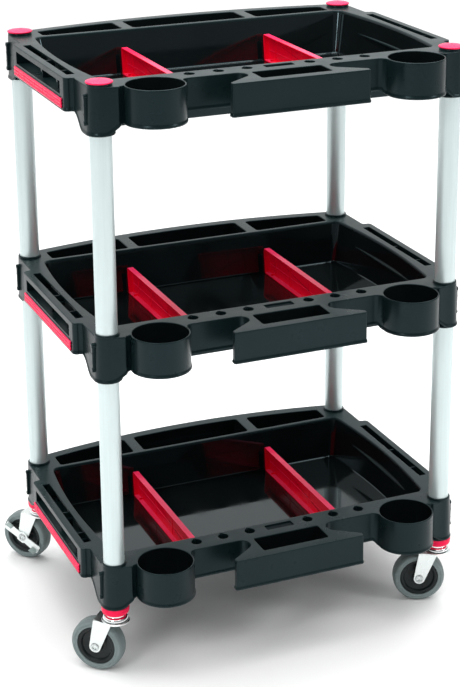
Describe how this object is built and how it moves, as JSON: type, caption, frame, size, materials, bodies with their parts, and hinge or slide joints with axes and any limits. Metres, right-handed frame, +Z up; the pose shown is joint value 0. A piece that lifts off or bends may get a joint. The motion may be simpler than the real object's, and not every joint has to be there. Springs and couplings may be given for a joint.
{
  "type": "rolling utility cart",
  "caption": "Upright rolling utility cart: deep moulded trays with cup holders, tool slots and lift-out dividers on round tube legs, with swivel casters and rear wheel brakes.",
  "frame": {"origin": "on the floor, at the middle of the box round the whole cart with its casters as they trail", "axes": "+Z up; X across the cart; -Y is the side with the cup holders, +Y the bowed rear side"},
  "size_m": [0.7726, 0.618, 1.1028],
  "materials": {
    "tray_plastic": "satin moulded, slate black",
    "divider_plastic": "glossy red",
    "trim_plastic": "satin pinkish red",
    "collar_plastic": "satin red",
    "tube_aluminium": "satin anodised",
    "zinc_plate": "bright zinc plated",
    "race_chrome": "polished",
    "pin_steel": "zinc plated",
    "hub_plastic": "satin black",
    "tyre_rubber": "matt grey"
  },
  "bodies": {
    "frame": {"tray_bottom": "tray_plastic", "tray_middle": "tray_plastic", "tray_top": "tray_plastic", "side_strip_bottom_left": "trim_plastic", "side_strip_bottom_right": "trim_plastic", "side_strip_middle_left": "trim_plastic", "side_strip_middle_right": "trim_plastic", "side_strip_top_left": "trim_plastic", "side_strip_top_right": "trim_plastic", "tube_lower_front_left": "tube_aluminium", "tube_upper_front_left": "tube_aluminium", "tube_cap_front_left": "trim_plastic", "caster_collar_front_left": "collar_plastic", "caster_race_front_left": "race_chrome", "caster_stem_front_left": "pin_steel", "tube_lower_front_right": "tube_aluminium", "tube_upper_front_right": "tube_aluminium", "tube_cap_front_right": "trim_plastic", "caster_collar_front_right": "collar_plastic", "caster_race_front_right": "race_chrome", "caster_stem_front_right": "pin_steel", "tube_lower_rear_left": "tube_aluminium", "tube_upper_rear_left": "tube_aluminium", "tube_cap_rear_left": "trim_plastic", "caster_collar_rear_left": "collar_plastic", "caster_race_rear_left": "race_chrome", "caster_stem_rear_left": "pin_steel", "tube_lower_rear_right": "tube_aluminium", "tube_upper_rear_right": "tube_aluminium", "tube_cap_rear_right": "trim_plastic", "caster_collar_rear_right": "collar_plastic", "caster_race_rear_right": "race_chrome", "caster_stem_rear_right": "pin_steel"},
    "divider_bottom_left": {"divider_bottom_left": "divider_plastic"},
    "divider_bottom_right": {"divider_bottom_right": "divider_plastic"},
    "divider_middle_left": {"divider_middle_left": "divider_plastic"},
    "divider_middle_right": {"divider_middle_right": "divider_plastic"},
    "divider_top_left": {"divider_top_left": "divider_plastic"},
    "divider_top_right": {"divider_top_right": "divider_plastic"},
    "swivel_front_left": {"caster_fork_front_left": "zinc_plate", "caster_axle_front_left": "pin_steel"},
    "wheel_front_left": {"wheel_hub_front_left": "hub_plastic", "wheel_tyre_front_left": "tyre_rubber"},
    "swivel_front_right": {"caster_fork_front_right": "zinc_plate", "caster_axle_front_right": "pin_steel"},
    "wheel_front_right": {"wheel_hub_front_right": "hub_plastic", "wheel_tyre_front_right": "tyre_rubber"},
    "swivel_rear_left": {"caster_fork_rear_left": "zinc_plate", "caster_axle_rear_left": "pin_steel"},
    "wheel_rear_left": {"wheel_hub_rear_left": "hub_plastic", "wheel_tyre_rear_left": "tyre_rubber"},
    "swivel_rear_right": {"caster_fork_rear_right": "zinc_plate", "caster_axle_rear_right": "pin_steel"},
    "wheel_rear_right": {"wheel_hub_rear_right": "hub_plastic", "wheel_tyre_rear_right": "tyre_rubber"},
    "brake_pedal_rear_left": {"brake_pedal_rear_left": "zinc_plate"},
    "brake_shoe_rear_left": {"brake_shoe_rear_left": "pin_steel"},
    "brake_pedal_rear_right": {"brake_pedal_rear_right": "zinc_plate"},
    "brake_shoe_rear_right": {"brake_shoe_rear_right": "pin_steel"}
  },
  "joints": [
    {"name": "divider_lift_bottom_left", "type": "slide", "parent": "frame", "child": "divider_bottom_left", "axis": [0, 0, 1], "range_m": [0, 0.12]},
    {"name": "divider_lift_bottom_right", "type": "slide", "parent": "frame", "child": "divider_bottom_right", "axis": [0, 0, 1], "range_m": [0, 0.12]},
    {"name": "divider_lift_middle_left", "type": "slide", "parent": "frame", "child": "divider_middle_left", "axis": [0, 0, 1], "range_m": [0, 0.12]},
    {"name": "divider_lift_middle_right", "type": "slide", "parent": "frame", "child": "divider_middle_right", "axis": [0, 0, 1], "range_m": [0, 0.12]},
    {"name": "divider_lift_top_left", "type": "slide", "parent": "frame", "child": "divider_top_left", "axis": [0, 0, 1], "range_m": [0, 0.12]},
    {"name": "divider_lift_top_right", "type": "slide", "parent": "frame", "child": "divider_top_right", "axis": [0, 0, 1], "range_m": [0, 0.12]},
    {"name": "swivel_front_left", "type": "hinge", "parent": "frame", "child": "swivel_front_left", "pos_m": [-0.31524, -0.22201, 0.1055], "axis": [0, 0, 1], "continuous": true},
    {"name": "wheel_front_left", "type": "hinge", "parent": "swivel_front_left", "child": "wheel_front_left", "pos_m": [-0.34119, -0.19852, 0.05], "axis": [-0.6712, -0.7413, 0], "continuous": true},
    {"name": "swivel_front_right", "type": "hinge", "parent": "frame", "child": "swivel_front_right", "pos_m": [0.34476, -0.22201, 0.1055], "axis": [0, 0, 1], "continuous": true},
    {"name": "wheel_front_right", "type": "hinge", "parent": "swivel_front_right", "child": "wheel_front_right", "pos_m": [0.31212, -0.20937, 0.05], "axis": [-0.361, -0.9326, 0], "continuous": true},
    {"name": "swivel_rear_left", "type": "hinge", "parent": "frame", "child": "swivel_rear_left", "pos_m": [-0.31524, 0.23799, 0.1055], "axis": [0, 0, 1], "continuous": true},
    {"name": "wheel_rear_left", "type": "hinge", "parent": "swivel_rear_left", "child": "wheel_rear_left", "pos_m": [-0.33873, 0.26394, 0.05], "axis": [-0.7413, -0.6712, 0], "continuous": true},
    {"name": "brake_pedal_rear_left", "type": "hinge", "parent": "swivel_rear_left", "child": "brake_pedal_rear_left", "pos_m": [-0.33873, 0.26394, 0.05], "axis": [-0.7413, -0.6712, 0], "range_deg": [0, 24]},
    {"name": "brake_shoe_rear_left", "type": "slide", "parent": "swivel_rear_left", "child": "brake_shoe_rear_left", "axis": [-0.3151, 0.348, -0.8829], "range_m": [0, 0.0012]},
    {"name": "swivel_rear_right", "type": "hinge", "parent": "frame", "child": "swivel_rear_right", "pos_m": [0.34476, 0.23799, 0.1055], "axis": [0, 0, 1], "continuous": true},
    {"name": "wheel_rear_right", "type": "hinge", "parent": "swivel_rear_right", "child": "wheel_rear_right", "pos_m": [0.31676, 0.25899, 0.05], "axis": [-0.6, -0.8, 0], "continuous": true},
    {"name": "brake_pedal_rear_right", "type": "hinge", "parent": "swivel_rear_right", "child": "brake_pedal_rear_right", "pos_m": [0.31676, 0.25899, 0.05], "axis": [-0.6, -0.8, 0], "range_deg": [0, 24]},
    {"name": "brake_shoe_rear_right", "type": "slide", "parent": "swivel_rear_right", "child": "brake_shoe_rear_right", "axis": [-0.3756, 0.2817, -0.8829], "range_m": [0, 0.0012]}
  ],
  "couplings": [
    {"joint": "brake_shoe_rear_left", "follows": "brake_pedal_rear_left", "m_per_rad": 0.00286},
    {"joint": "brake_shoe_rear_right", "follows": "brake_pedal_rear_right", "m_per_rad": 0.00286}
  ]
}
